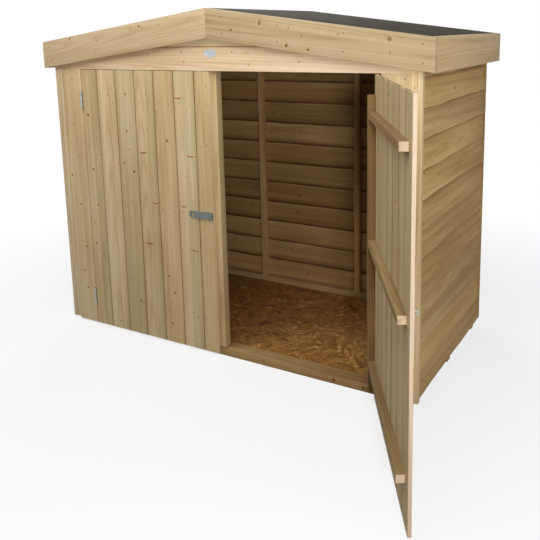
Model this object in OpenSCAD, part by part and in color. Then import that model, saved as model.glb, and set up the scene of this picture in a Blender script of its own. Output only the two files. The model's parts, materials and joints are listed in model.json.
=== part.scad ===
// Low apex garden shed with double doors in its wide gable front.
// X runs to the right along the front, Y runs from the front to the back, Z is up.
// The origin is on the ground at the middle of the walls. The right door stands open.

/* [Overall] */
// Width over the corner trims
wall_w = 1830; // [1500:10:2400]
// Depth from the face of the front boards to the face of the back cladding
wall_d = 870; // [700:10:1400]
// Height of the door head, where the gable boarding starts
head_h = 1272; // [1000:1:1900]
// Height of the roof boards at the eaves above the door head
eave_rise = 124; // [90:1:200]
// Rise of the roof boards from the eaves to the ridge
roof_rise = 129; // [60:1:400]

/* [Floor] */
// Height of the floor bearers
bearer_h = 23; // [18:1:45]
// Width of each floor bearer
bearer_w = 38; // [25:1:60]
// Distance of the bearer ends from the wall faces
bearer_inset = 16; // [4:1:24]
// Thickness of the floor board
floor_t = 11; // [9:1:18]
// Distance of the floor edge from the wall faces
floor_inset = 26; // [18:1:40]
// Depth of the door sill from front to back
sill_d = 70; // [45:1:100]

/* [Walls] */
// Thickness of the wall framing
frame_t = 28; // [22:1:45]
// Width of the wall posts
post_w = 40; // [28:1:60]
// Width of the back wall battens
batten_back_w = 30; // [25:1:45]
// Distance of the back wall battens from the middle
batten_back_x = 285; // [200:5:400]
// Height of the wall rails
rail_h = 28; // [22:1:45]
// Height of the header over the doors
header_h = 45; // [30:1:60]
// Thickness of the cladding at the lower edge of each board
clad_t = 16; // [12:1:22]
// Thickness of the cladding at the upper edge of each board
clad_thin = 7; // [5:1:10]
// Height of cladding that each board shows
clad_pitch = 111; // [80:1:140]
// Height of the lower edge of the cladding above the floor
clad_lift = 2; // [1:1:15]
// Width of the corner trims
trim_w = 42; // [35:1:60]
// Thickness of the corner trims
trim_t = 18; // [15:1:24]
// Height of the lower ends of the front trims
trim_bottom = 20; // [4:1:30]
// Width of the fixed board on each side of the doors
panel_w = 116; // [90:1:160]

/* [Roof] */
// Reach of the eaves boards beyond the walls
eave_reach = 50; // [35:1:90]
// Reach of the roof deck beyond the front and back faces
verge_reach = 6; // [6:1:20]
// Thickness of the bargeboards and eaves boards
barge_t = 20; // [14:1:26]
// Height of the lower ends of the bargeboards above the door head
barge_clear = 2; // [1:1:15]
// Thickness of the roof deck
deck_t = 11; // [8:1:18]
// Thickness of the roofing felt
felt_t = 3; // [2:0.5:5]
// Width of the ridge batten
ridge_w = 40; // [28:1:60]
// Height of the ridge batten
ridge_t = 45; // [28:1:70]
// Seating gap between the walls and the roof deck
roof_seat = 0.3; // [0.2:0.1:0.6]

/* [Doors] */
// Thickness of the door and gable boards
board_t = 12; // [10:1:16]
// Width that each door board covers
board_cover = 112.5; // [80:0.5:150]
// Width of the door board next to the hinges
board_first = 97; // [60:1:112]
// Distance of the doors' meeting line to the left of the middle
meet_off = 12; // [0:1:20]
// Width of the joint groove between boards
groove_w = 5; // [3:0.5:7]
// Depth of the joint groove between boards
groove_d = 3; // [2:0.5:4]
// Running gap round the doors
door_gap = 5; // [5:0.5:7]
// Height of the lower edge of the doors
door_bottom = 10; // [6:1:20]
// Height of each door ledge
ledge_h = 28; // [22:1:45]
// Thickness of the door ledges and hinge battens
ledge_t = 28; // [22:1:40]
// Distance from the door top to the middle of the top ledge
ledge_top_inset = 142; // [110:1:220]
// Distance from the door bottom to the middle of the low ledge
ledge_low_inset = 154; // [110:1:220]
// Distance of the ledge ends from the free edge of the right door
ledge_short = 45; // [36:1:80]
// Width of the hinge battens
batten_w = 30; // [24:1:45]
// Distance of the hinge batten from the door top
batten_top_inset = 72; // [60:1:90]
// Distance of the hinge batten from the door bottom
batten_low_inset = 40; // [34:1:60]
// Reach of the meeting strip behind the right door
strip_reach = 26; // [15:1:32]
// Width of the meeting strip that is fixed to the left door
strip_hold = 27; // [20:1:40]
// Depth of the meeting strip
strip_t = 40; // [28:1:45]
// Opening angle of the right door
door_open = 120; // [60:1:165]

/* [Hinges and hasp] */
// Height of each hinge
hinge_h = 84; // [60:1:120]
// Distance of the hinge middles from the door ends
hinge_inset = 141; // [90:1:200]
// Length of the hinge leaves along the door edge
leaf_w = 26; // [18:1:36]
// Thickness of the hinge leaves
leaf_t = 2; // [1:0.5:2]
// Diameter of the hinge knuckles
knuckle_d = 10; // [8:0.5:11]
// Diameter of the hinge pins
pin_d = 5; // [3:0.5:6]
// Distance of the hinge pins in front of the boards
pin_out = 6; // [6:0.5:9]
// Running play of the pins in their knuckles
pin_play = 0.1; // [0.05:0.01:0.1]
// Height of the hasp plates
hasp_h = 30; // [24:1:40]
// Length of the hasp strap from its pin
strap_l = 120; // [108:1:140]
// Length of the fixed hasp plate from its pin
hasp_leaf_l = 42; // [30:1:60]
// Thickness of the hasp plates
hasp_t = 2; // [1.5:0.5:2]
// Diameter of the hasp knuckle
hasp_knuckle_d = 8; // [7:0.5:9]
// Diameter of the hasp pin
hasp_pin_d = 3; // [2:0.5:4]
// Distance of the hasp pin from the free edge of the left door
hasp_pin_in = 5.5; // [5:0.5:12]
// Corner radius of the strap's free end
strap_round = 8; // [4:1:12]
// Distance of the staple from the strap's free end
staple_end = 16; // [14:1:24]
// Thickness of the staple's eye
staple_t = 3; // [2:0.5:4]
// Height of the staple's eye
staple_h = 18; // [14:1:20]
// Reach of the staple in front of the door
staple_reach = 28; // [22:1:32]
// Diameter of the padlock hole in the staple
staple_hole = 9; // [6:0.5:10]
// Room round the staple along the strap
staple_room = 5; // [4:0.5:6]
// Play above and below the staple in the strap
staple_play = 2; // [1:0.5:2]

/* [Hidden] */
$fn = 48;
half_w = wall_w / 2;
eave_h = head_h + eave_rise;
ridge_h = eave_h + roof_rise;
barge_h = eave_rise - barge_clear;
front_y = -wall_d / 2;
back_y = wall_d / 2;
floor_top = bearer_h + floor_t;
clad_bottom = floor_top + clad_lift;
// The planes that the wall framing is fixed on
front_frame_y = front_y + board_t;
back_frame_y = back_y - clad_t;
side_frame_x = half_w - clad_t;
// The roof lines, over half of its width
roof_half = half_w + eave_reach;
deck_half = roof_half - barge_t;
roof_front = front_y - verge_reach;
roof_back = back_y + verge_reach;
roof_fall = (ridge_h - eave_h) / roof_half;
function roof_z(x) = ridge_h - roof_fall * abs(x);
function deck_z(x) = roof_z(x) - felt_t;
function under_z(x) = deck_z(x) - deck_t - roof_seat;
// The doorway and its two leaves
panel_out = half_w - trim_w;
panel_in = panel_out - panel_w;
door_out = panel_in - door_gap;
left_in = meet_off + door_gap / 2;
right_in = door_gap / 2 - meet_off;
door_top = head_h - door_gap;
pin_x = panel_in - door_gap / 2;
pin_y = front_y - pin_out;
sill_front = front_frame_y + door_gap;
ledge_low_z = door_bottom + ledge_low_inset;
ledge_top_z = door_top - ledge_top_inset;
ledge_heights = [ledge_low_z, (ledge_low_z + ledge_top_z) / 2, ledge_top_z];
hinge_heights = [door_bottom + hinge_inset, door_top - hinge_inset];
knuckle_gap = 0.5;
// The hasp pin, with the strap lying folded back on the left door
hasp_x = -left_in - hasp_pin_in;
hasp_y = front_y - hasp_knuckle_d / 2 - knuckle_gap;
hasp_z = ledge_heights[1];
staple_x = strap_l - staple_end;
strap_off = 0.5;

tan_wood = [0.78, 0.69, 0.53];
clad_wood = [0.62, 0.52, 0.36];
cut_wood = [0.85, 0.72, 0.58];
frame_wood = [0.66, 0.52, 0.34];
floor_wood = [0.58, 0.42, 0.24];
felt_grey = [0.31, 0.31, 0.29];
zinc = [0.62, 0.65, 0.66];

// Extrudes an outline in X and Z from y0 to y1
module along_y(y0, y1) {
    translate([0, y1, 0]) rotate([90, 0, 0]) linear_extrude(y1 - y0) children();
}

// Extrudes an outline in Y and Z from x0 to x1
module along_x(x0, x1) {
    translate([x0, 0, 0]) rotate([90, 0, 90]) linear_extrude(x1 - x0) children();
}

// A squared timber between two corners
module timber(low, high) {
    translate(low) cube(high - low);
}

// The left-hand copy of a right-hand piece
module left_hand() {
    mirror([1, 0, 0]) children();
}

// The right door's pieces, turned from closed to open about its hinge pins
module right_door_open() {
    translate([pin_x, pin_y, 0]) rotate([0, 0, door_open]) translate([-pin_x, -pin_y, 0]) children();
}

// The space under the roof deck, as an outline in X and Z
module under_roof() {
    polygon([[-half_w, 0], [half_w, 0], [half_w, under_z(half_w)], [0, under_z(0)],
        [-half_w, under_z(half_w)]]);
}

// Overlapping boards: how far each point stands out from the framing, and its height
clad_rows = ceil((under_z(0) - clad_bottom) / clad_pitch);
function overlap_face(rows) = [for (row = [0 : rows - 1], edge = [0, 1])
    [edge == 0 ? clad_t : clad_thin, clad_bottom + (row + edge) * clad_pitch]];
function overlap_outline(rows) = concat([[0, clad_bottom]], overlap_face(rows),
    [[0, clad_bottom + rows * clad_pitch]]);

// Tongued boards side by side from the hinge edge inwards, with a vee joint between them
function joint_points(x, y) = [[x - groove_w / 2, y], [x, y + groove_d], [x + groove_w / 2, y]];
function joint_count(x0, x1) = floor((x1 - x0 - board_first - 2 * groove_w) / board_cover);
function boarding(x0, x1) = concat([[x0, front_y]],
    [for (i = [joint_count(x0, x1) : -1 : 0],
        p = joint_points(x1 - board_first - i * board_cover, front_y)) p],
    [[x1, front_y], [x1, front_frame_y], [x0, front_frame_y]]);

// Floor

module floor_bearers() {
    reach = half_w - bearer_inset;
    back_edge = back_frame_y - frame_t;
    color(frame_wood) for (y = [0, back_edge - bearer_w / 2])
        timber([-reach, y - bearer_w / 2, 0], [reach, y + bearer_w / 2, bearer_h]);
}

module floor_deck() {
    reach = half_w - floor_inset;
    color(floor_wood)
        timber([-reach, sill_front + sill_d, bearer_h], [reach, back_y - floor_inset, floor_top]);
}

module door_sill() {
    reach = half_w - floor_inset;
    color(frame_wood) timber([-reach, sill_front, 0], [reach, sill_front + sill_d, floor_top]);
}

// Front wall

module fixed_panel() {
    color(tan_wood) timber([panel_in, front_y, door_bottom], [panel_out, front_frame_y, head_h]);
}

module front_left_panel() {
    left_hand() fixed_panel();
}

module front_right_panel() {
    fixed_panel();
}

module jamb_post() {
    timber([panel_in, front_frame_y, floor_top], [panel_in + post_w, front_frame_y + frame_t, head_h]);
}

module front_posts() {
    color(frame_wood) {
        jamb_post();
        left_hand() jamb_post();
    }
}

module front_header() {
    reach = side_frame_x - frame_t;
    color(frame_wood)
        timber([-reach, front_frame_y, head_h], [reach, front_frame_y + frame_t, head_h + header_h]);
}

// Horizontal boards in the gable, with vee joints on the outer face
module front_gable() {
    color(tan_wood) difference() {
        along_y(front_y, front_frame_y) intersection() {
            under_roof();
            translate([-panel_out, head_h]) square([2 * panel_out, ridge_h - head_h]);
        }
        for (z = [head_h + board_first : board_cover : under_z(0) - groove_w])
            along_x(-half_w, half_w)
                polygon([[front_y, z - groove_w / 2], [front_y + groove_d, z],
                    [front_y, z + groove_w / 2]]);
    }
}

module corner_trim(y0, bottom) {
    along_y(y0, y0 + trim_t) intersection() {
        under_roof();
        translate([panel_out, bottom]) square([trim_w, ridge_h - bottom]);
    }
}

module front_trims() {
    color(tan_wood) {
        corner_trim(front_frame_y - trim_t, trim_bottom);
        left_hand() corner_trim(front_frame_y - trim_t, trim_bottom);
    }
}

// Side and back walls

module side_cladding() {
    color(clad_wood) along_y(front_frame_y, back_frame_y) intersection() {
        under_roof();
        translate([side_frame_x, 0]) polygon(overlap_outline(clad_rows));
    }
}

module left_cladding() {
    left_hand() side_cladding();
}

module right_cladding() {
    side_cladding();
}

// Three posts stand between the rails of a side wall
module side_posts() {
    first = front_frame_y;
    last = back_frame_y - post_w;
    color(frame_wood) for (y = [first, (first + last) / 2, last])
        timber([side_frame_x - frame_t, y, floor_top + rail_h], [side_frame_x, y + post_w, head_h]);
}

module left_posts() {
    left_hand() side_posts();
}

module right_posts() {
    side_posts();
}

// The top rail is bevelled to the roof
module side_rails() {
    inner = side_frame_x - frame_t;
    color(frame_wood) {
        timber([inner, front_frame_y, floor_top], [side_frame_x, back_frame_y, floor_top + rail_h]);
        along_y(front_frame_y, back_frame_y)
            polygon([[inner, head_h], [side_frame_x, head_h], [side_frame_x, under_z(side_frame_x)],
                [inner, under_z(inner)]]);
    }
}

module left_rails() {
    left_hand() side_rails();
}

module right_rails() {
    side_rails();
}

module back_cladding() {
    color(clad_wood) intersection() {
        along_x(-panel_out, panel_out) translate([back_frame_y, 0]) polygon(overlap_outline(clad_rows));
        along_y(back_frame_y - 1, back_y + 1) under_roof();
    }
}

module back_battens() {
    color(frame_wood) for (x = [-batten_back_x, batten_back_x])
        timber([x - batten_back_w / 2, back_frame_y - frame_t, floor_top + rail_h],
            [x + batten_back_w / 2, back_frame_y, head_h]);
}

module back_rails() {
    reach = side_frame_x - frame_t;
    color(frame_wood) for (z = [floor_top, head_h])
        timber([-reach, back_frame_y - frame_t, z], [reach, back_frame_y, z + rail_h]);
}

module back_trims() {
    color(clad_wood) {
        corner_trim(back_frame_y, clad_bottom);
        left_hand() corner_trim(back_frame_y, clad_bottom);
    }
}

// Roof

module ridge_batten() {
    side = ridge_w / 2;
    foot = under_z(side) - ridge_t;
    color(frame_wood) along_y(front_frame_y, back_frame_y)
        polygon([[-side, foot], [side, foot], [side, under_z(side)], [0, under_z(0)],
            [-side, under_z(side)]]);
}

// A roof sheet from the ridge to the eaves board, with its top a drop below the roof line
module roof_sheet(drop, thick) {
    along_y(roof_front, roof_back)
        polygon([[0, ridge_h - drop], [deck_half, roof_z(deck_half) - drop],
            [deck_half, roof_z(deck_half) - drop - thick], [0, ridge_h - drop - thick]]);
}

module left_roof_deck() {
    color(floor_wood) left_hand() roof_sheet(felt_t, deck_t);
}

module right_roof_deck() {
    color(floor_wood) roof_sheet(felt_t, deck_t);
}

module left_roof_felt() {
    color(felt_grey) left_hand() roof_sheet(0, felt_t);
}

module right_roof_felt() {
    color(felt_grey) roof_sheet(0, felt_t);
}

// A bargeboard from the ridge to the end of the eaves, cut plumb at both ends
module bargeboard(y0) {
    color(tan_wood) along_y(y0, y0 + barge_t)
        polygon([[0, ridge_h], [roof_half, eave_h], [roof_half, eave_h - barge_h], [0, ridge_h - barge_h]]);
}

module front_left_bargeboard() {
    left_hand() bargeboard(roof_front - barge_t);
}

module front_right_bargeboard() {
    bargeboard(roof_front - barge_t);
}

module back_left_bargeboard() {
    left_hand() bargeboard(roof_back);
}

module back_right_bargeboard() {
    bargeboard(roof_back);
}

module eaves_board() {
    color(tan_wood) along_y(roof_front, roof_back)
        polygon([[deck_half, roof_z(deck_half)], [roof_half, eave_h], [roof_half, eave_h - barge_h],
            [deck_half, eave_h - barge_h]]);
}

module left_eaves_board() {
    left_hand() eaves_board();
}

module right_eaves_board() {
    eaves_board();
}

// Butt hinges, with their leaves in the gap between the panel and the door

module at_pin(z) {
    translate([pin_x, pin_y, z]) children();
}

module frame_leaf(z) {
    third = hinge_h / 3;
    low = z - hinge_h / 2;
    x0 = panel_in - leaf_t;
    timber([x0, front_y, low], [panel_in, front_y + leaf_w, low + hinge_h]);
    for (foot = [low, low + 2 * third]) {
        timber([x0, pin_y, foot], [panel_in, front_y, foot + third]);
        at_pin(foot) cylinder(d = knuckle_d, h = third);
    }
    at_pin(low) cylinder(d = pin_d, h = hinge_h);
}

module door_leaf(z) {
    third = hinge_h / 3;
    low = z - hinge_h / 2;
    foot = low + third + knuckle_gap;
    tall = third - 2 * knuckle_gap;
    difference() {
        union() {
            timber([door_out, front_y, low], [door_out + leaf_t, front_y + leaf_w, low + hinge_h]);
            timber([door_out, pin_y, foot], [door_out + leaf_t, front_y, foot + tall]);
            at_pin(foot) cylinder(d = knuckle_d, h = tall);
        }
        at_pin(foot - 1) cylinder(d = pin_d + 2 * pin_play, h = tall + 2);
    }
}

module frame_hinges() {
    color(zinc) for (z = hinge_heights) frame_leaf(z);
}

module door_hinges() {
    color(zinc) for (z = hinge_heights) door_leaf(z);
}

module left_frame_hinges() {
    left_hand() frame_hinges();
}

module right_frame_hinges() {
    frame_hinges();
}

module left_door_hinges() {
    left_hand() door_hinges();
}

module right_door_hinges() {
    right_door_open() door_hinges();
}

// Doors

module door_boards(inner) {
    color(tan_wood) translate([0, 0, door_bottom]) linear_extrude(door_top - door_bottom)
        polygon(boarding(inner, door_out));
}

module door_ledges(end_x) {
    color(cut_wood) for (z = ledge_heights)
        timber([end_x, front_frame_y, z - ledge_h / 2],
            [door_out - batten_w, front_frame_y + ledge_t, z + ledge_h / 2]);
}

module door_batten() {
    color(frame_wood) timber([door_out - batten_w, front_frame_y, door_bottom + batten_low_inset],
        [door_out, front_frame_y + ledge_t, door_top - batten_top_inset]);
}

module left_door_boards() {
    left_hand() door_boards(left_in);
}

module left_door_ledges() {
    left_hand() door_ledges(left_in + strip_hold);
}

module left_door_batten() {
    left_hand() door_batten();
}

// Fixed behind the free edge of the left door, stepped back where the right door closes on it
module meeting_strip() {
    foot = floor_top + door_gap;
    edge = -left_in;
    reach = strip_reach - meet_off;
    deep = front_frame_y + strip_t;
    color(cut_wood) translate([0, 0, foot]) linear_extrude(door_top - foot)
        polygon([[edge - strip_hold, front_frame_y], [edge, front_frame_y],
            [edge, front_frame_y + door_gap], [reach, front_frame_y + door_gap],
            [reach, deep], [edge - strip_hold, deep]]);
}

module right_door_boards() {
    right_door_open() door_boards(right_in);
}

module right_door_ledges() {
    right_door_open() door_ledges(right_in + ledge_short);
}

module right_door_batten() {
    right_door_open() door_batten();
}

// Hasp and staple

module at_hasp_pin(z) {
    translate([hasp_x, hasp_y, z]) children();
}

module hasp_plate() {
    third = hasp_h / 3;
    low = hasp_z - hasp_h / 2;
    clear_x = hasp_x - hasp_knuckle_d / 2 - knuckle_gap;
    color(zinc) {
        timber([hasp_x - hasp_leaf_l, front_y - hasp_t, low], [clear_x, front_y, low + hasp_h]);
        for (foot = [low, low + 2 * third]) {
            timber([clear_x, front_y - hasp_t, foot], [hasp_x, front_y, foot + third]);
            at_hasp_pin(foot) cylinder(d = hasp_knuckle_d, h = third);
        }
        at_hasp_pin(low) cylinder(d = hasp_pin_d, h = hasp_h);
    }
}

// A strap with rounded corners and an upright slot for the staple
module hasp_strap() {
    third = hasp_h / 3;
    low = hasp_z - hasp_h / 2;
    high = low + hasp_h;
    foot = low + third + knuckle_gap;
    tall = third - 2 * knuckle_gap;
    clear_x = hasp_x - hasp_knuckle_d / 2 - knuckle_gap;
    end_x = hasp_x - strap_l;
    face = hasp_y - strap_off;
    slot_x = hasp_x - staple_x;
    slot_l = staple_t + 2 * staple_room;
    slot_h = staple_h + 2 * staple_play;
    color(zinc) difference() {
        union() {
            timber([end_x + strap_round, face - hasp_t, low], [clear_x, face, high]);
            timber([end_x, face - hasp_t, low + strap_round],
                [end_x + strap_round, face, high - strap_round]);
            for (z = [low + strap_round, high - strap_round])
                translate([end_x + strap_round, face, z]) rotate([90, 0, 0])
                    cylinder(r = strap_round, h = hasp_t);
            timber([clear_x, face - hasp_t, foot], [hasp_x, face, foot + tall]);
            at_hasp_pin(foot) cylinder(d = hasp_knuckle_d, h = tall);
        }
        at_hasp_pin(foot - 1) cylinder(d = hasp_pin_d + 2 * pin_play, h = tall + 2);
        timber([slot_x - slot_l / 2, face - hasp_t - 1, hasp_z - slot_h / 2],
            [slot_x + slot_l / 2, face + 1, hasp_z + slot_h / 2]);
    }
}

// An upright eye that stands out of the right door's face
module hasp_staple() {
    eye_y = staple_h / 2 - staple_reach;
    color(zinc) right_door_open() translate([hasp_x + staple_x, front_y, hasp_z])
        along_x(-staple_t / 2, staple_t / 2) difference() {
            union() {
                translate([eye_y, -staple_h / 2]) square([-eye_y, staple_h]);
                translate([eye_y, 0]) circle(d = staple_h);
            }
            translate([eye_y, 0]) circle(d = staple_hole);
        }
}

floor_bearers();
floor_deck();
door_sill();
front_left_panel();
front_right_panel();
front_posts();
front_header();
front_gable();
front_trims();
left_cladding();
right_cladding();
left_posts();
right_posts();
left_rails();
right_rails();
back_cladding();
back_battens();
back_rails();
back_trims();
ridge_batten();
left_roof_deck();
right_roof_deck();
left_roof_felt();
right_roof_felt();
front_left_bargeboard();
front_right_bargeboard();
back_left_bargeboard();
back_right_bargeboard();
left_eaves_board();
right_eaves_board();
left_frame_hinges();
right_frame_hinges();
left_door_boards();
left_door_ledges();
left_door_batten();
meeting_strip();
left_door_hinges();
hasp_plate();
hasp_strap();
right_door_boards();
right_door_ledges();
right_door_batten();
right_door_hinges();
hasp_staple();
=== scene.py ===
"""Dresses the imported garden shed: single boards, knots, nails, finishes, light and camera."""
import copy
import json
import math
import random
from collections import namedtuple

import bmesh
import bpy
from mathutils import Matrix, Vector

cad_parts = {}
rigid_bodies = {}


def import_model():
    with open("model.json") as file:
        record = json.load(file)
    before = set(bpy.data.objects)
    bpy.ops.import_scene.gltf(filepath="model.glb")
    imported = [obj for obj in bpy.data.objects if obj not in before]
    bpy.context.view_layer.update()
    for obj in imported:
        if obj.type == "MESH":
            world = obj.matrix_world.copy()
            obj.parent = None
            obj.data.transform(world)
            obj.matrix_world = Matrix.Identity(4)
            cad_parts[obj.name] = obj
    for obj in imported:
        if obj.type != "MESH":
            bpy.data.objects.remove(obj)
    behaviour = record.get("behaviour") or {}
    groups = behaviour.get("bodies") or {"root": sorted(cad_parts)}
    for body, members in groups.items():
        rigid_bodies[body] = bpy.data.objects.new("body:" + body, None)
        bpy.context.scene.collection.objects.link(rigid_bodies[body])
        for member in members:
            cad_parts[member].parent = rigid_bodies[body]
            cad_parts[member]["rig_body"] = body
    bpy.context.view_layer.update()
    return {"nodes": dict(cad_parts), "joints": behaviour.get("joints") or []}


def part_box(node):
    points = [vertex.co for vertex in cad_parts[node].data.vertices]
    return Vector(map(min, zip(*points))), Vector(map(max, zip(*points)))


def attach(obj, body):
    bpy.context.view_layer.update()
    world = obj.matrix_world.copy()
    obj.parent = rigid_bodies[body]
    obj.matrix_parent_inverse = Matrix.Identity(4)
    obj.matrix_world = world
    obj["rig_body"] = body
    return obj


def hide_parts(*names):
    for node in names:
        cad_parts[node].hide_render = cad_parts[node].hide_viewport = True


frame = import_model()

MM = 0.001
X_AXIS = Vector((1, 0, 0))
Y_AXIS = Vector((0, 1, 0))
Z_AXIS = Vector((0, 0, 1))
TO_FRONT = (0, -1, 0)

Point = namedtuple("Point", "x y z")


def box(node):
    """The lowest and highest corner of a node's solids, to a tenth of a millimetre."""
    return [Point(*(round(value, 4) for value in corner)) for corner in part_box(node)]


# Places of the solids, in metres, that the single boards repeat
trim_low, trim_high = box("front_trims")
panel_low, panel_high = box("front_right_panel")
clad_low, clad_high = box("right_cladding")
door_low, door_high = box("left_door_boards")
ledge_low, ledge_high = box("left_door_ledges")
hinge = next(joint for joint in frame["joints"] if joint["name"] == "right_door_hinge")

HALF_W = trim_high.x
FRONT_Y = panel_low.y
FRAME_Y = panel_high.y
BOARD_T = FRAME_Y - FRONT_Y
CLAD_T = clad_high.x - clad_low.x
CLAD_BOTTOM = clad_low.z
SIDE_FRAME_X = clad_low.x
BACK_FRAME_Y = clad_high.y
BACK_Y = BACK_FRAME_Y + CLAD_T
HEAD_Z = panel_high.z
RIDGE_Z = box("right_roof_felt")[1].z
ROOF_DROP = RIDGE_Z - box("front_gable")[1].z
BARGE_OUT = FRONT_Y - box("front_right_bargeboard")[0].y
SILL_FRONT = box("door_sill")[0].y
TRIM_T = trim_high.y - trim_low.y
TRIM_BOTTOM = trim_low.z
PANEL_OUT = panel_high.x
PANEL_IN = panel_low.x
DOOR_OUT = -door_low.x
DOOR_GAP = PANEL_IN - DOOR_OUT
DOOR_BOTTOM = door_low.z
DOOR_TOP = door_high.z
LEFT_IN = -door_high.x
RIGHT_IN = DOOR_GAP - LEFT_IN
LEDGE_HALF = (ledge_high.y - ledge_low.y) / 2
LEDGE_HEIGHTS = (ledge_low.z + LEDGE_HALF, (ledge_low.z + ledge_high.z) / 2, ledge_high.z - LEDGE_HALF)
PIN = Vector(hinge["pos_m"])
DOOR_OPEN = math.radians(-hinge["range_deg"][0])

# Sizes that the boxes of the solids don't show
CLAD_THIN = 0.007
CLAD_PITCH = 0.111
BOARD_FIRST = 0.097
BOARD_COVER = 0.1125
BATTEN_X = 0.285
# How far the roof falls from its ridge to its edge, and how steep that is
ROOF_DIP = 0.129
ROOF_FALL = ROOF_DIP / box("right_eaves_board")[1].x
# The boards over and beside the doors come this much lower, since the gap there looks thin
HEAD_DROP = 0.003


def lin(red, green, blue):
    """A colour as it shows on screen, turned into linear light."""
    def channel(value):
        value /= 255
        return value / 12.92 if value <= 0.04045 else ((value + 0.055) / 1.055) ** 2.4
    return (channel(red), channel(green), channel(blue), 1.0)


def add(name, data):
    """A new object in the scene."""
    made = bpy.data.objects.new(name, data)
    bpy.context.scene.collection.objects.link(made)
    return made


# Materials

class Tree:
    """Short calls for the nodes of one material or world."""

    def __init__(self, owner):
        owner.use_nodes = True
        self.owner = owner
        self.nodes = owner.node_tree.nodes
        self.links = owner.node_tree.links
        self.shader = self.nodes.get("Principled BSDF")

    def put(self, socket, value):
        if isinstance(value, bpy.types.NodeSocket):
            self.links.new(value, socket)
        else:
            socket.default_value = value

    def node(self, kind, inputs=None, **settings):
        made = self.nodes.new(kind)
        for key, value in settings.items():
            setattr(made, key, value)
        for key, value in (inputs or {}).items():
            self.put(made.inputs[key], value)
        return made

    def attribute(self, name):
        return self.node("ShaderNodeAttribute", attribute_name=name)

    def place(self):
        return self.node("ShaderNodeTexCoord").outputs["Object"]

    def math(self, operation, a, b=0.0, c=0.0, clamp=False):
        made = self.node("ShaderNodeMath", {0: a, 1: b, 2: c}, operation=operation, use_clamp=clamp)
        return made.outputs[0]

    def total(self, *parts):
        """The sum of values, each times its weight."""
        result = 0.0
        for value, weight in parts:
            result = self.math("MULTIPLY_ADD", value, weight, result)
        return result

    def scaled(self, vector, factors):
        return self.node("ShaderNodeVectorMath", {0: vector, 1: factors}, operation="MULTIPLY").outputs[0]

    def length(self, vector):
        return self.node("ShaderNodeVectorMath", {0: vector}, operation="LENGTH").outputs["Value"]

    def noise(self, vector, scale, detail=2.0, w=None):
        inputs = {"Vector": vector, "Scale": scale, "Detail": detail}
        if w is not None:
            inputs["W"] = w
        kind = "3D" if w is None else "4D"
        return self.node("ShaderNodeTexNoise", inputs, noise_dimensions=kind).outputs["Fac"]

    def cells(self, vector, scale, kind="3D"):
        return self.node("ShaderNodeTexVoronoi", {"Vector": vector, "Scale": scale}, voronoi_dimensions=kind)

    def first_channel(self, colour):
        return self.node("ShaderNodeSeparateColor", {0: colour}).outputs[0]

    def spread(self, value, low, high, out_low=0.0, out_high=1.0):
        made = self.node("ShaderNodeMapRange", {"Value": value, "From Min": low, "From Max": high,
                                                "To Min": out_low, "To Max": out_high})
        return made.outputs["Result"]

    def mix(self, factor, a, b, blend="MIX"):
        made = self.node("ShaderNodeMix", data_type="RGBA", blend_type=blend)
        self.put(made.inputs[0], factor)
        self.put(made.inputs[6], a)
        self.put(made.inputs[7], b)
        return made.outputs[2]

    def ramp(self, factor, stops):
        made = self.node("ShaderNodeValToRGB", {"Fac": factor})
        ramp = made.color_ramp
        while len(ramp.elements) < len(stops):
            ramp.elements.new(0.5)
        for element, (place, colour) in zip(ramp.elements, stops):
            element.position = place
            element.color = lin(*colour)
        return made.outputs["Color"]

    def bump(self, height, strength, distance):
        made = self.node("ShaderNodeBump", {"Height": height, "Strength": strength, "Distance": distance})
        self.put(self.shader.inputs["Normal"], made.outputs["Normal"])

    def surface(self, colour, roughness, specular):
        self.put(self.shader.inputs["Base Color"], colour)
        self.put(self.shader.inputs["Roughness"], roughness)
        self.put(self.shader.inputs["Specular IOR Level"], specular)


# Planed sapwood, than which no timber is paler
PALEST = (0.9, 0.82, 0.7)
# How a knot darkens the wood, from its halo to its heart
KNOT_STAIN = ((0.0, (255, 255, 255)), (0.3, (238, 224, 204)), (0.6, (202, 177, 146)),
              (0.86, (158, 130, 102)), (1.0, (122, 97, 73)))
# Growth rings: radians a metre of radius, and how far they wander
RING_RATE = 900.0
RING_WARP = 0.035
# How far apart the noise of two boards can lie
SEED_RANGE = 40.0


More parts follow.
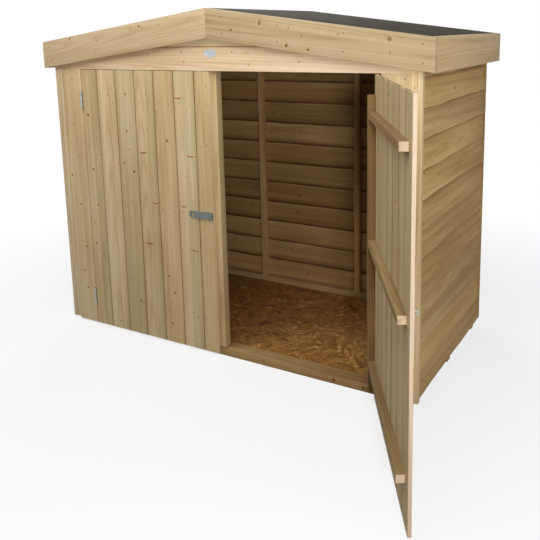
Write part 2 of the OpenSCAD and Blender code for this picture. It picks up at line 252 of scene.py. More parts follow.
def wood(name, light, middle, dark, saw=0.25, rough=0.68, span=(0.4, 0.78), figure=0.085):
    """Softwood: rings, broad streaks and fine fibre that follow each board, with knots and a board tint.
    saw is the depth of the fibre, span the range of tone and figure the share of the rings in it."""
    t = Tree(bpy.data.materials.new(name))
    grain = t.attribute("grain").outputs["Vector"]
    tint = t.attribute("tint")
    knot_value = t.attribute("knot").outputs["Fac"]
    seed = t.math("MULTIPLY", tint.outputs["Alpha"], SEED_RANGE)
    warp = t.noise(t.scaled(grain, (1, 1, 0.12)), 6.0, 2.0, seed)
    broad = t.noise(t.scaled(grain, (1, 1, 0.02)), 46.0, 2.0, seed)
    patch = t.noise(t.scaled(grain, (1, 1, 0.3)), 5.0, 2.0, seed)
    fine = t.noise(t.scaled(grain, (1, 1, 0.012)), 380.0, 2.0, seed)
    radius = t.length(t.scaled(grain, (1, 1, 0)))
    ring = t.math("MULTIPLY_ADD", warp, RING_WARP, radius)
    ring = t.math("SINE", t.math("MULTIPLY", ring, RING_RATE))
    ring = t.math("POWER", t.math("MULTIPLY_ADD", ring, 0.5, 0.5), 2.0)
    tone = t.total((broad, 0.46), (patch, 0.46), (ring, figure), (fine, 0.14))
    colour = t.ramp(t.spread(tone, *span), ((0.0, light), (0.5, middle), (1.0, dark)))
    colour = t.mix(1.0, colour, tint.outputs["Color"], "MULTIPLY")
    colour = t.mix(1.0, colour, t.ramp(knot_value, KNOT_STAIN), "MULTIPLY")
    colour = t.node("ShaderNodeVectorMath", {0: colour, 1: PALEST}, operation="MINIMUM").outputs[0]
    t.surface(colour, t.spread(tone, 0.3, 1.0, rough - 0.06, rough + 0.1), 0.28)
    t.bump(t.total((ring, 0.35), (fine, saw)), 0.35, 0.0008)
    return t.owner


# Two layers of flakes: patches of one direction, flake lengths and flake widths to the metre
FLAKE_LAYERS = ((15.0, 14.0, 64.0), (24.0, 22.0, 105.0))
FLAKE_JITTER = (0.014, 0.014, 0.0)


def strand_board(name):
    """Strand board: long flakes that lie in all directions, over one another."""
    t = Tree(bpy.data.materials.new(name))
    place = t.place()
    jitter = t.node("ShaderNodeTexNoise", {"Vector": place, "Scale": 12.0, "Detail": 1.0}).outputs["Color"]
    shift = {0: jitter, 1: FLAKE_JITTER, 2: place}
    moved = t.node("ShaderNodeVectorMath", shift, operation="MULTIPLY_ADD").outputs[0]
    shades = []
    edges = []
    for patches, lengths, widths in FLAKE_LAYERS:
        patch = t.cells(moved, patches, "2D")
        angle = t.math("MULTIPLY", t.first_channel(patch.outputs["Color"]), math.tau)
        turned = t.node("ShaderNodeVectorRotate", {"Vector": moved, "Angle": angle}, rotation_type="Z_AXIS")
        flake = t.cells(t.scaled(turned.outputs[0], (lengths, widths, 1.0)), 1.0, "2D")
        shades.append(t.first_channel(flake.outputs["Color"]))
        edges.append(flake.outputs["Distance"])
    fibre = t.noise(t.scaled(place, (1, 6, 1)), 160.0, 2.0)
    shade = t.total((shades[1], 0.38), (shades[0], 0.62), (fibre, 0.22))
    colour = t.ramp(t.spread(shade, 0.05, 1.1), ((0.0, (104, 66, 28)), (0.4, (140, 95, 44)),
                                                 (0.75, (164, 116, 60)), (1.0, (204, 158, 96))))
    stain = t.noise(t.scaled(place, (1, 1.8, 1)), 16.0, 3.0)
    colour = t.mix(t.spread(stain, 0.6, 0.7), colour, lin(92, 58, 26))
    t.surface(colour, t.spread(shade, 0.0, 1.0, 0.5, 0.75), 0.35)
    t.bump(t.math("MULTIPLY_ADD", edges[0], -0.6, shade), 0.4, 0.0012)
    return t.owner


def mineral_felt(name):
    """Roofing felt with mineral grit, a little uneven in tone."""
    t = Tree(bpy.data.materials.new(name))
    place = t.place()
    fleck = t.first_channel(t.cells(place, 620.0).outputs["Color"])
    cloud = t.noise(place, 7.0, 4.0)
    shade = t.total((cloud, 0.5), (fleck, 0.5))
    colour = t.ramp(t.spread(shade, 0.2, 0.8), ((0.0, (43, 39, 31)), (0.6, (62, 56, 45)),
                                                (1.0, (88, 80, 65))))
    t.surface(colour, t.spread(fleck, 0.0, 1.0, 0.78, 0.96), 0.1)
    t.bump(t.math("MULTIPLY_ADD", fleck, 0.7, cloud), 0.5, 0.0015)
    return t.owner


def galvanised(name, dark, light, rough):
    """Zinc-coated steel with a faint spangle and scuffs."""
    t = Tree(bpy.data.materials.new(name))
    place = t.place()
    spangle = t.first_channel(t.cells(place, 240.0).outputs["Color"])
    scuff = t.noise(t.scaled(place, (1, 1, 7)), 130.0, 3.0)
    shade = t.total((scuff, 0.65), (spangle, 0.35))
    colour = t.ramp(t.spread(shade, 0.2, 0.8), ((0.0, dark), (1.0, light)))
    t.surface(colour, t.spread(shade, 0.2, 0.8, rough - 0.08, rough + 0.12), 0.5)
    t.put(t.shader.inputs["Metallic"], 0.85)
    t.bump(scuff, 0.15, 0.0003)
    return t.owner


FRONT_WOOD = wood("front_wood", (222, 202, 163), (204, 180, 137), (178, 149, 104))
CLAD_WOOD = wood("clad_wood", (210, 179, 127), (184, 150, 99), (148, 114, 69), saw=0.6, rough=0.76,
                 span=(0.36, 0.75), figure=0.04)
ROOF_WOOD = wood("roof_wood", (228, 204, 162), (210, 182, 138), (178, 146, 101))
FRAME_WOOD = wood("frame_wood", (196, 164, 114), (168, 134, 86), (134, 102, 60), saw=0.6, rough=0.76)
LEDGE_WOOD = wood("ledge_wood", (166, 142, 101), (140, 114, 74), (106, 83, 51), figure=0.06)
SILL_WOOD = wood("sill_wood", (200, 168, 120), (168, 134, 90), (120, 88, 53), saw=0.8, rough=0.74,
                 span=(0.42, 0.76), figure=0.03)
FLOOR_BOARD = strand_board("strand_board")
FELT = mineral_felt("mineral_felt")
ZINC = galvanised("zinc", (146, 145, 138), (188, 186, 178), 0.48)
DULL_ZINC = galvanised("dull_zinc", (86, 92, 88), (132, 140, 135), 0.46)
NAIL_STEEL = galvanised("nail_steel", (58, 50, 42), (98, 86, 72), 0.55)
PLATE_METAL = galvanised("plate_metal", (160, 163, 165), (190, 193, 195), 0.55)


# Shapes

class Maker:
    """Collects closed shapes for one piece, with grain, tint and knot values at every point."""

    def __init__(self, name):
        self.name = name
        self.rng = random.Random(name)
        self.bm = bmesh.new()
        self.grain = self.bm.verts.layers.float_vector.new("grain")
        self.tint = self.bm.verts.layers.float_color.new("tint")
        self.knot = self.bm.verts.layers.float.new("knot")

    def point(self, place, grain, tint, knot_value=0.0):
        vert = self.bm.verts.new(place)
        vert[self.grain] = grain
        vert[self.tint] = tint
        vert[self.knot] = knot_value
        return vert

    def face(self, verts):
        self.bm.faces.new(verts)

    def cut(self, place, normal):
        """Cuts away what lies beyond a plane and closes the cut."""
        geometry = self.bm.verts[:] + self.bm.edges[:] + self.bm.faces[:]
        bmesh.ops.bisect_plane(self.bm, geom=geometry, dist=1e-6, plane_co=place, plane_no=normal,
                               clear_outer=True)
        open_edges = [edge for edge in self.bm.edges if edge.is_boundary]
        bmesh.ops.holes_fill(self.bm, edges=open_edges, sides=0)
        bmesh.ops.dissolve_degenerate(self.bm, dist=1e-6, edges=self.bm.edges[:])

    def loft(self, rings):
        """Joins rings of points into one closed shape."""
        count = len(rings[0])
        for first, second in zip(rings, rings[1:]):
            for i in range(count):
                j = (i + 1) % count
                self.face((first[i], first[j], second[j], second[i]))
        self.face(rings[0][::-1])
        self.face(rings[-1])

    def finish(self, material, body, nodes=(), turn=None, angle=32):
        """Makes the piece, which rides on a body and replaces the nodes named."""
        bmesh.ops.recalc_face_normals(self.bm, faces=self.bm.faces[:])
        if turn is not None:
            self.bm.transform(turn)
        mesh = bpy.data.meshes.new(self.name)
        self.bm.to_mesh(mesh)
        self.bm.free()
        mesh.materials.append(material)
        mesh.shade_smooth()
        mesh.set_sharp_from_angle(angle=math.radians(angle))
        piece = add(self.name, mesh)
        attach(piece, body)
        if nodes:
            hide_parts(*nodes)


class Board:
    """Where one board lies and how its grain runs."""

    def __init__(self, rng, origin, along, across, out, tint):
        self.origin = Vector(origin)
        self.along = Vector(along)
        self.across = Vector(across)
        self.out = Vector(out)
        self.tint = (*tint, rng.random())
        self.pith = rng.uniform(-0.05, 0.05)
        self.depth = rng.choice((-1, 1)) * rng.uniform(0.012, 0.07)
        self.drift = rng.choice((-1, 1)) * rng.uniform(0.005, 0.04)
        self.whole = None

    def at(self, s, a, d):
        """The point that lies s along, a across and d out from the board's origin."""
        return self.origin + self.along * s + self.across * a + self.out * d

    def local(self, place):
        offset = Vector(place) - self.origin
        return offset.dot(self.along), offset.dot(self.across), offset.dot(self.out)

    def grain(self, s, a, d):
        if self.whole is not None:
            return self.whole.grain(*self.whole.local(self.at(s, a, d)))
        return Vector((a - self.pith, self.depth + d + self.drift * s, s))

    def facing(self, normal):
        """The same board and grain, with another of its faces outwards."""
        turned = copy.copy(self)
        turned.out = Vector(normal)
        turned.across = turned.out.cross(self.along).normalized()
        turned.whole = self
        return turned


# Fresh cut edges and ends, against the weathered faces
EDGE_TINT = (1.35, 1.37, 1.84)
END_TINT = (2.8, 3.2, 5.3)
# Painted shade takes away more blue than red
SHADE_POWERS = (0.8, 1.0, 1.3)
# How far a board's tone leans to pink or green
WARMTH = 0.05


def tinted(rng, amount):
    """A board's own tone: a little lighter or darker, pinker or greener."""
    level = 1 + rng.uniform(-amount, amount)
    shift = rng.uniform(-WARMTH, WARMTH)
    return (level * (1 + shift), level, level * (1 - shift))


def toned(tint, tone):
    """A board's tint and grain seed, times a tone."""
    return (*(x * y for x, y in zip(tint, tone)), tint[3])


def shaded(tint, shade):
    """A board's tint and grain seed, darker where shade is painted and lighter where light is painted."""
    return toned(tint, [shade ** power for power in SHADE_POWERS])


# The easing of a board's ends, and the share of it that its outline draws in
END_EASE = 0.001
END_SHARE = 0.7
# The two waves of an uneven edge: times of its phase, radians a metre and share
EDGE_WAVES = ((1, 9.0, 0.6), (2, 23.0, 0.4))
# How near to its first and last edge a board follows their waves
FIRST_EDGE = 0.004
LAST_EDGE = 0.0005
# The hairline at the pith: half its width, and its depth
HAIRLINE = 0.0006
HAIRLINE_DEEP = 0.0004


def split_section(section, heart):
    """A cross-section with a hairline in its face, at the pith."""
    before = [p for p in section if p[0] < heart and p[1] < BOARD_T / 2]
    after = [p for p in section if p not in before]
    line = [(heart - HAIRLINE, 0.0, 1.0), (heart, HAIRLINE_DEEP, 0.8), (heart + HAIRLINE, 0.0, 1.0)]
    return before + line + after


def plank(mk, board, section, length, steps=8, waves=(0.0, 0.0), bow=0.0004, pale=None,
          heart=None, heart_tint=None):
    """A board from its cross-section (across, depth and shade), eased at both ends, with a slight bow and
    uneven edges. pale is the place across the board of an edge that was cut after the timber was treated,
    and heart the place of a hairline at the pith, beyond which the board has another tone."""
    rng = mk.rng
    if heart is not None:
        section = split_section(section, heart)
    low_a = min(p[0] for p in section)
    high_a = max(p[0] for p in section)
    mid_a = (low_a + high_a) / 2
    mid_d = (min(p[1] for p in section) + max(p[1] for p in section)) / 2
    phases = [rng.uniform(0, math.tau) for _ in range(2)]
    bend = rng.uniform(-bow, bow)
    inner_stations = [length * i / steps for i in range(1, steps)]
    stations = [0.0, END_EASE] + inner_stations + [length - END_EASE, length]
    rings = []
    for index, s in enumerate(stations):
        end = index in (0, len(stations) - 1)
        lift = bend * math.sin(math.pi * s / length)
        sways = [wave * sum(math.sin(phase * times + s * rate) * share for times, rate, share in EDGE_WAVES)
                 for wave, phase in zip(waves, phases)]
        ring = []
        for a, d, shade in section:
            cut_edge = pale is not None and abs(a - pale) < 1e-6
            shift = 0.0
            if a - low_a < FIRST_EDGE:
                shift = sways[0]
            elif high_a - a < LAST_EDGE:
                shift = sways[1]
            if end:
                a += math.copysign(min(END_EASE * END_SHARE, abs(a - mid_a)), mid_a - a)
                d += math.copysign(min(END_EASE * END_SHARE, abs(d - mid_d)), mid_d - d)
            tint = board.tint
            if heart is not None and a > heart:
                tint = (*heart_tint, board.tint[3])
            if cut_edge:
                tint = toned(tint, EDGE_TINT)
            place = board.at(s, a + shift, d + lift)
            ring.append(mk.point(place, board.grain(s, a, d), shaded(tint, shade)))
        rings.append(ring)
    mk.loft(rings)


# A knot's rings, as shares of its size, with their stain; beyond its rim they shrink to the room there is
KNOT_RINGS = ((0.35, 1.0), (0.7, 0.94), (0.92, 0.78), (1.12, 0.42), (1.45, 0.16), (2.0, 0.05), (2.7, 0.0))
KNOT_SIDES = 18
KNOT_RIM = 1.12
KNOT_LEAST = 1.2
KNOT_REACH = KNOT_RINGS[-1][0]
# The height of a knot's middle, how far its outer ring sinks below that, and its pale crescent
KNOT_TOP = 0.00022
KNOT_SINK = 1.6
KNOT_CRESCENT = 0.36
# What is left free between a knot and the edge of its face
KNOT_FREE = 0.003


def knot(mk, board, s, a, face_d, size_s, size_a, outward, room_s, room_a, strength):
    """A knot: a shallow lens on the board's face, round which the fibres flow. The rooms along and across
    the board keep it on the face."""
    scale_s, scale_a = ((max(KNOT_LEAST, min(KNOT_REACH, room / size)) - KNOT_RIM) / (KNOT_REACH - KNOT_RIM)
                        for room, size in ((room_s, size_s), (room_a, size_a)))
    turn = mk.rng.uniform(0, math.tau)
    lobes = mk.rng.uniform(0.05, 0.16)

    def spot(factor, value, side, height):
        theta = math.tau * side / KNOT_SIDES
        stretch = 1 + lobes * math.sin(2 * theta + turn)
        outer = max(0.0, factor - KNOT_RIM)
        inner = factor - outer
        da = math.cos(theta) * size_a * (inner + outer * scale_a) * stretch
        ds = math.sin(theta) * size_s * (inner + outer * scale_s) * stretch
        fade = max(0.0, 1 - factor / KNOT_REACH)
        squeeze = 1 - fade * min(1.0, 1 / max(factor, 0.4) ** 2)
        grain = board.grain(s + ds, a + da * squeeze, face_d)
        crescent = 1.0
        if KNOT_RIM < factor < KNOT_REACH:
            crescent += KNOT_CRESCENT * strength * max(0.0, math.sin(theta + turn))
        place = board.at(s + ds, a + da, face_d + outward * height)
        return mk.point(place, grain, toned(board.tint, (crescent,) * 3), value * strength)

    middle = board.at(s, a, face_d + outward * KNOT_TOP)
    centre = mk.point(middle, board.grain(s, a, face_d), board.tint, strength)
    last = None
    for factor, value in KNOT_RINGS:
        height = KNOT_TOP * (1 - KNOT_SINK * (factor / KNOT_REACH) ** 2)
        ring = [spot(factor, value, side, height) for side in range(KNOT_SIDES)]
        for i in range(KNOT_SIDES):
            j = (i + 1) % KNOT_SIDES
            if last is None:
                mk.face((centre, ring[i], ring[j]))
            else:
                mk.face((last[i], ring[i], ring[j], last[j]))
        last = ring
    mk.face(last[::-1])


# Kinds of knot: half sizes across and along the grain, in millimetres, and strength
KNOT_SIZES = {"tiny": (2.2, 2.2, 0.62), "small": (3.2, 3.2, 0.7), "smear": (5.4, 4.4, 0.38),
              "dark": (4.3, 5.0, 0.9), "eye": (5.8, 6.2, 0.9), "long": (2.5, 16.0, 0.3),
              "burl": (8.4, 6.4, 0.62)}


def knot_at(mk, board, place, normal, kind, room_a):
    """A knot of one kind at a point on a board's face."""
    size_a, size_s, strength = KNOT_SIZES[kind]
    if abs(board.out.dot(Vector(normal))) < 0.9:
        board = board.facing(normal)
    outward = 1 if board.out.dot(Vector(normal)) > 0 else -1
    knot(mk, board, *board.local(place), size_s * MM, size_a * MM, outward, math.inf, room_a, strength)


# A spike knot across its streak, from below: offset, height above the face, stain and tint
SPIKE_PROFILE = ((-2.4, -0.0002, 0.0, (1.0, 1.0, 1.0)), (-1.5, 0.00008, 0.12, (1.0, 0.96, 0.9)),
                 (-0.7, 0.00018, 0.8, (1.06, 0.86, 0.66)), (0.3, 0.0002, 0.5, (1.04, 0.9, 0.76)),
                 (1.2, 0.00014, 0.06, (1.16, 1.1, 1.04)), (2.2, 0.00006, 0.0, (1.08, 1.06, 1.04)),
                 (3.0, -0.0002, 0.0, (1.0, 1.0, 1.0)))
SPIKE_HALF = 0.005
SPIKE_SAG = 0.005
SPIKE_STEPS = 12
# The thin end's share of the thick end, and how blunt both ends are
SPIKE_THIN = 0.45
SPIKE_BLUNT = 0.16


def spike_knot(mk, board, first, last, height):
    """A knot cut along its length: a bowed streak on the front that narrows to one end."""
    s, low_a, face_d = board.local((first, FRONT_Y, height))
    span = last - first
    thick_last = mk.rng.random() < 0.5
    rings = []
    for step in range(SPIKE_STEPS + 1):
        share = step / SPIKE_STEPS
        arch = 1 - (2 * share - 1) ** 2
        taper = SPIKE_THIN + (1 - SPIKE_THIN) * (share if thick_last else 1 - share)
        half = SPIKE_HALF * math.sqrt(max(SPIKE_BLUNT, arch)) * taper
        a = low_a + span * share
        ring = []
        for offset, rise, stain, tone in SPIKE_PROFILE:
            along = s - SPIKE_SAG * arch + offset * half
            place = board.at(along, a, face_d - rise)
            ring.append(mk.point(place, board.grain(along, a, face_d), toned(board.tint, tone), stain))
        rings.append(ring)
    mk.loft(rings)


def scatter_knots(mk, board, length, low_a, high_a, face_d, outward, spacing, size, strengths):
    """Knots along a board, at uneven distances."""
    rng = mk.rng
    s = rng.uniform(0.03, spacing)
    while s < length - 0.02:
        radius = size * rng.uniform(0.55, 1.25)
        margin = radius * 1.25 + KNOT_FREE
        if high_a - low_a > 2 * margin + 0.004:
            a = rng.uniform(low_a + margin, high_a - margin)
            room_s = min(s, length - s) - KNOT_FREE
            room_a = min(a - low_a, high_a - a) - KNOT_FREE
            knot(mk, board, s, a, face_d, radius * rng.uniform(0.8, 1.3), radius, outward, room_s, room_a,
                 rng.uniform(*strengths))
        s += spacing * rng.uniform(0.45, 1.6)


def roof_cut(mk):
    """Cuts a piece to the underside of the roof deck."""
    for side in (-1, 1):
        mk.cut((0, 0, RIDGE_Z - ROOF_DROP), (side * ROOF_FALL, 0, 1))


# Metal has no grain, and one tint
BLANK_GRAIN = (0, 0, 0)
BLANK_TINT = (1.0, 1.0, 1.0, 0.5)


def dome(mk, place, across, up, normal, outline, sides):
    """A low closed dome, from rings with their share of its half axes and their height."""
    rings = []
    for size, height in outline:
        ring = []
        for i in range(sides):
            theta = math.tau * i / sides
            flat = across * math.cos(theta) + up * math.sin(theta)
            ring.append(mk.point(place + flat * size + normal * height, BLANK_GRAIN, BLANK_TINT))
        rings.append(ring)
    mk.loft(rings)


# A nail head's rings: share of its radius, and height above the wood
NAIL_RINGS = ((1.0, -0.0006), (1.0, 0.0003), (0.7, 0.0007))
NAIL_SIDES = 10


def nails(name, spots, body, radius=0.0024, turn=None):
    """Round nail heads, each a low dome whose rim is sunk in the wood."""
    mk = Maker(name)
    for place, normal in spots:
        normal = Vector(normal).normalized()
        across = normal.orthogonal().normalized() * radius
        dome(mk, Vector(place), across, normal.cross(across), normal, NAIL_RINGS, NAIL_SIDES)
    mk.finish(NAIL_STEEL, body, turn=turn, angle=50)


def solid_copy(source):
    """A copy of a node's solids, with their flat faces joined."""
    bm = bmesh.new()
    made = [bm.verts.new(vert.co) for vert in source.data.vertices]
    for polygon in source.data.polygons:
        corners = [made[i] for i in polygon.vertices]
        if bm.faces.get(corners) is None:
            bm.faces.new(corners)
    bmesh.ops.remove_doubles(bm, verts=bm.verts[:], dist=2e-5)
    bmesh.ops.dissolve_limit(bm, angle_limit=math.radians(1.0), verts=bm.verts[:], edges=bm.edges[:])
    return bm


def islands(bm):
    """The points of each separate solid."""
    seen = set()
    for start in bm.verts:
        if start in seen:
            continue
        island = [start]
        seen.add(start)
        for vert in island:
            for edge in vert.link_edges:
                other = edge.other_vert(vert)
                if other not in seen:
                    seen.add(other)
                    island.append(other)
        yield island


def solid_board(island, rng, tone):
    """A solid taken as one board, its grain along the longest edge and its widest side outwards."""
    edges = dict.fromkeys(edge for vert in island for edge in vert.link_edges)
    longest = max(edges, key=lambda edge: (round(edge.calc_length(), 5), -edge.verts[0].co.z))
    along = (longest.verts[1].co - longest.verts[0].co).normalized()
    faces = dict.fromkeys(face for vert in island for face in vert.link_faces)
    sides = [face for face in faces if abs(face.normal.dot(along)) < 0.1] or list(faces)
    out = max(sides, key=lambda face: round(face.calc_area(), 7)).normal.copy()
    centre = sum((vert.co for vert in island), Vector()) / len(island)
    return Board(rng, centre, along, out.cross(along).normalized(), out, tone)


# How much the timbers of one node differ in tone
TIMBER_SPREAD = 0.06


def dress(node, material, bevel=0.0012, tint=None, ends=None, knots=()):
    """An eased copy of a node's solids, with the grain along each one's longest edge.
    ends is the tint of the cut ends, and knots lists their place, facing and kind."""
    source = frame["nodes"][node]
    rng = random.Random(node)
    bm = solid_copy(source)
    frames = {}
    for island in islands(bm):
        board = solid_board(island, rng, tint or tinted(rng, TIMBER_SPREAD))
        for vert in island:
            frames[tuple(round(c, 5) for c in vert.co)] = board
    boards = list(frames.items())
    sharp = [edge for edge in bm.edges if edge.is_manifold and edge.calc_face_angle() > math.radians(25)]
    bmesh.ops.bevel(bm, geom=sharp, offset=bevel, segments=2, profile=0.7, affect="EDGES", clamp_overlap=True)
    mk = Maker(node + ".dressed")
    lengths = {}
    for place, board in boards:
        reach = abs((Vector(place) - board.origin).dot(board.along))
        lengths[board] = max(lengths.get(board, 0.0), reach)
    points = {}
    for face in bm.faces:
        for vert in face.verts:
            if vert not in points:
                board = min(boards, key=lambda item: (Vector(item[0]) - vert.co).length_squared)[1]
                s, a, d = board.local(vert.co)
                cut_end = ends and abs(s) > lengths[board] - 1e-5
                shade = (*ends, board.tint[3]) if cut_end else board.tint
                points[vert] = mk.point(vert.co, board.grain(s, a, d), shade)
        mk.face([points[vert] for vert in face.verts])
    bm.free()
    for place, normal, kind in knots:
        board = boards[0][1].facing(normal)
        across = [board.local(corner)[1] for corner, _ in boards]
        a = board.local(place)[1]
        room = min(a - min(across), max(across) - a) - KNOT_FREE
        knot_at(mk, board, place, normal, kind, room)
    mk.finish(material, source["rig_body"], (node,))


# Doors and the fixed boards beside them

# The edges of a tongued board: across from the edge, depth behind the face, and how dark a joint's face is
# The vee holds painted shade and dirt, the rounded shoulders painted shade, the middle a faint painted
# highlight
JOINT_FACE = ((0.0, 0.0055, 0.76), (0.0002, 0.0034, 0.66), (0.0018, 0.0014, 0.3), (0.0045, 0.0006, 0.13),
              (0.013, 0.0, 0.04), (0.028, 0.0, -0.02))
# The same for the others, with their painted shade instead
PLAIN_FACE = ((0.0, 0.0009, 1.0), (0.0009, 0.0, 1.0))
JOINT_BACK = ((0.0, 0.0036, 0.1), (0.0016, 0.0005, 0.5), (0.005, 0.0, 0.88), (0.014, 0.0, 1.0))
PLAIN_BACK = ((0.0, 0.0008, 1.0), (0.0008, 0.0, 1.0))
JOINT_SLACK = 0.0003


def board_section(low, high, joint_low=True, joint_high=True, joint_shade_and_dirt=1.0):
    """A tongued board's cross-section: across, depth behind the face and shade, with rounded shoulders.
    joint_shade_and_dirt says how dark the painted shade and dirt in the joints are."""
    joint_face = [(a, d, 1 - dark * joint_shade_and_dirt) for a, d, dark in JOINT_FACE]
    low_face, low_back = (joint_face, JOINT_BACK) if joint_low else (PLAIN_FACE, PLAIN_BACK)
    high_face, high_back = (joint_face, JOINT_BACK) if joint_high else (PLAIN_FACE, PLAIN_BACK)
    low += JOINT_SLACK if joint_low else 0.0
    high -= JOINT_SLACK if joint_high else 0.0
    section = [(low + a, d, shade) for a, d, shade in low_face]
    section += [(high - a, d, shade) for a, d, shade in reversed(high_face)]
    section += [(high - a, BOARD_T - d, shade) for a, d, shade in high_back]
    section += [(low + a, BOARD_T - d, shade) for a, d, shade in reversed(low_back)]
    return section


# Tones of the front boards
CREAM = (1.05, 1.04, 1.02)
SAGE = (0.93, 0.95, 0.9)
ROSE = (1.03, 0.96, 0.91)
HONEY = (0.99, 0.95, 0.87)
PALE = (1.09, 1.08, 1.06)
DULL = (0.9, 0.88, 0.83)
DIM_SAGE = (0.82, 0.85, 0.8)
# Pale, with painted light against the open door's shadow
PALE_WITH_PAINTED_LIGHT = (1.14, 1.13, 1.17)
# Each board of a door from the hinge inwards: its tone, its tone beyond the pith, and where the pith lies
LEFT_TONES = ((CREAM, SAGE, 0.5), (PALE, CREAM, 0.62), (SAGE, None, 1), (CREAM, SAGE, 0.58), (ROSE, None, 1),
              (CREAM, SAGE, 0.46), (HONEY, None, 1))
RIGHT_TONES = ((DULL, None, 1), (DIM_SAGE, DULL, 0.55), (DULL, None, 1), (DIM_SAGE, None, 1),
               (DULL, DIM_SAGE, 0.4), (DULL, None, 1), (DULL, DIM_SAGE, 0.6))

# Knots on the front of the left door and its side board, in millimetres: across, and height
FRONT_KNOTS = {
    "tiny": ((-858, 1218), (-818, 1115), (-795, 1089), (-857, 673), (-730, 1177), (-722, 861), (-372, 838),
             (-262, 1209)),
    "small": ((-814, 1220), (-855, 909), (-801, 857), (-768, 923), (-809, 752), (-856, 35), (-730, 909),
              (-729, 527), (-708, 397), (-585, 173), (-602, 45), (-460, 1007), (-476, 907), (-479, 659),
              (-463, 477), (-361, 1168), (-367, 177), (-214, 1200), (-300, 1088), (-296, 500), (-276, 209),
              (-153, 809), (-149, 180), (-161, 41), (-29, 1205), (-64, 945)),
    "smear": ((-824, 1006), (-818, 423), (-687, 845), (-684, 500), (-566, 1184), (-588, 1153), (-576, 641),
              (-489, 288), (-362, 1005), (-360, 805), (-279, 477), (-34, 955)),
    "dark": ((-860, 755), (-814, 611), (-796, 400), (-822, 273), (-808, 185), (-701, 618), (-729, 423),
             (-482, 1159), (-486, 991), (-512, 841), (-458, 177), (-280, 330), (-249, 255), (-273, 102)),
    "eye": ((-722, 1056), (-713, 795), (-455, 805), (-252, 961)),
    "long": ((-36, 841), (-35, 755), (-37, 564), (-36, 441)),
}
# Spike knots: both ends across, and height
FRONT_SPIKES = ((-582, -546, 950), (-578, -542, 835), (-641, -621, 341), (-424, -373, 902),
                (-358, -316, 673), (-415, -363, 477), (-199, -159, 1156), (-147, -94, 904),
                (-194, -158, 675), (-150, -94, 479))
# How near to the edge of its board a knot is listed, and how near it is put
KNOT_LISTED = 0.002
KNOT_INSET = 0.004
# Knots that the photograph doesn't show: usual distance, size and strengths
OUTER_KNOTS = (0.24, 0.0042, (0.5, 0.9))
INNER_KNOTS = (0.3, 0.0045, (0.5, 0.9))
# Nails of a door board: places as shares of its width, and how far they stray across and in height
DOOR_NAILS = (-0.27, 0.27)
NAIL_STRAY_X = 0.004
NAIL_STRAY_Z = 0.006


def placed_knots(mk, board, low, high):
    """The listed knots whose place lies on a board of the front."""
    for kind, places in FRONT_KNOTS.items():
        inset = KNOT_INSET + KNOT_SIZES[kind][0] * MM
        for x, z in places:
            x *= MM
            if low + KNOT_LISTED < x < high - KNOT_LISTED:
                x = min(max(x, low + inset), high - inset)
                room = min(x - low, high - x) - KNOT_FREE
                knot_at(mk, board, (x, FRONT_Y, z * MM), TO_FRONT, kind, room)
    for first, last, z in FRONT_SPIKES:
        if low < (first + last) / 2 * MM < high:
            first = max(first * MM, low + KNOT_INSET)
            last = min(last * MM, high - KNOT_INSET)
            spike_knot(mk, board, first, last, z * MM)


def door_edges(inner):
    """The board edges of a right-hand door, from its hinge edge inwards."""
    edges = [DOOR_OUT, DOOR_OUT - BOARD_FIRST]
    while edges[-1] - BOARD_COVER > inner + 0.01:
        edges.append(edges[-1] - BOARD_COVER)
    return edges + [inner]


def door(name, inner, side, body, tones, turn=None):
    """A door's boards; side is -1 for the left door, which is the mirror of the right one."""
    mk = Maker(name + "_boards.dressed")
    edges = door_edges(inner)
    length = DOOR_TOP - DOOR_BOTTOM
    last_board = len(edges) - 2
    nail_spots = []
    for index, (outer, near) in enumerate(zip(edges, edges[1:])):
        low, high = sorted((side * outer, side * near))
        ends = (index > 0, index < last_board)
        joints = ends if side < 0 else ends[::-1]
        middle = (low + high) / 2
        tone, other_tone, share = tones[index]
        board = Board(mk.rng, (middle, FRONT_Y, DOOR_BOTTOM), Z_AXIS, X_AXIS, Y_AXIS, tone)
        section = board_section(low - middle, high - middle, *joints)
        pale = None
        if index == last_board:
            pale = max(p[0] for p in section) if side < 0 else min(p[0] for p in section)
        heart = (low - middle) + share * (high - low) if other_tone else None
        plank(mk, board, section, length, pale=pale, heart=heart, heart_tint=other_tone)
        half = (high - low) / 2 - KNOT_FREE
        if side < 0:
            placed_knots(mk, board, low, high)
        else:
            scatter_knots(mk, board, length, -half, half, 0.0, -1, *OUTER_KNOTS)
        scatter_knots(mk, board, length, -half, half, BOARD_T, 1, *INNER_KNOTS)
        for height in LEDGE_HEIGHTS:
            for place in DOOR_NAILS:
                x = middle + place * (high - low) + mk.rng.uniform(-NAIL_STRAY_X, NAIL_STRAY_X)
                z = height + mk.rng.uniform(-NAIL_STRAY_Z, NAIL_STRAY_Z)
                nail_spots.append(((x, FRONT_Y, z), TO_FRONT))
    mk.finish(FRONT_WOOD, body, (name + "_boards",), turn)
    nails(name + "_nails", nail_spots, body, turn=turn)


OPENED = Matrix.Translation(PIN) @ Matrix.Rotation(DOOR_OPEN, 4, "Z") @ Matrix.Translation(-PIN)
door("left_door", LEFT_IN, -1, "left_door", LEFT_TONES)
door("right_door", RIGHT_IN, 1, "right_door", RIGHT_TONES, OPENED)

